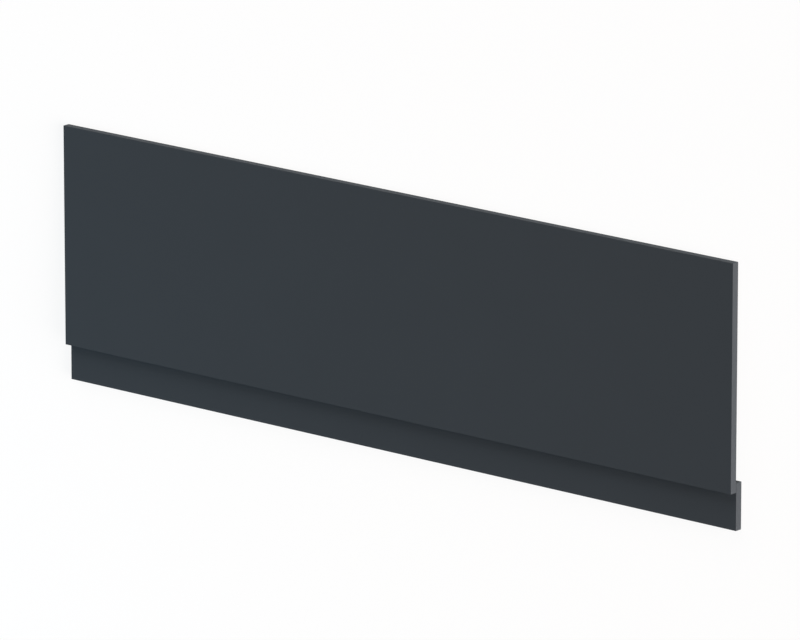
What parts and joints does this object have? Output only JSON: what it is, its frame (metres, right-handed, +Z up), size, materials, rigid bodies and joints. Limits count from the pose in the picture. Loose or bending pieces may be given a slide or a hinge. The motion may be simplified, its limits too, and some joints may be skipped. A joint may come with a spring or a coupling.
{
  "type": "bath panel",
  "caption": "Dark grey bath front panel: a long flat board with a set-back plinth board lapped behind its lower edge, closing off the side of a bath.",
  "frame": {"origin": "on the floor, under the middle of the panel's box, with the panel lying face up on its back", "axes": "+X along the length, to the right of someone facing the fitted panel; +Y towards the panel's top edge; +Z up, out of the front face, which leans 2.2 degrees because the plinth lies under the lower edge"},
  "size_m": [1.7, 0.5308, 0.0335],
  "materials": {
    "melamine_board": "matte"
  },
  "bodies": {
    "root": {"front_panel": "melamine_board", "plinth": "melamine_board"}
  },
  "joints": []
}
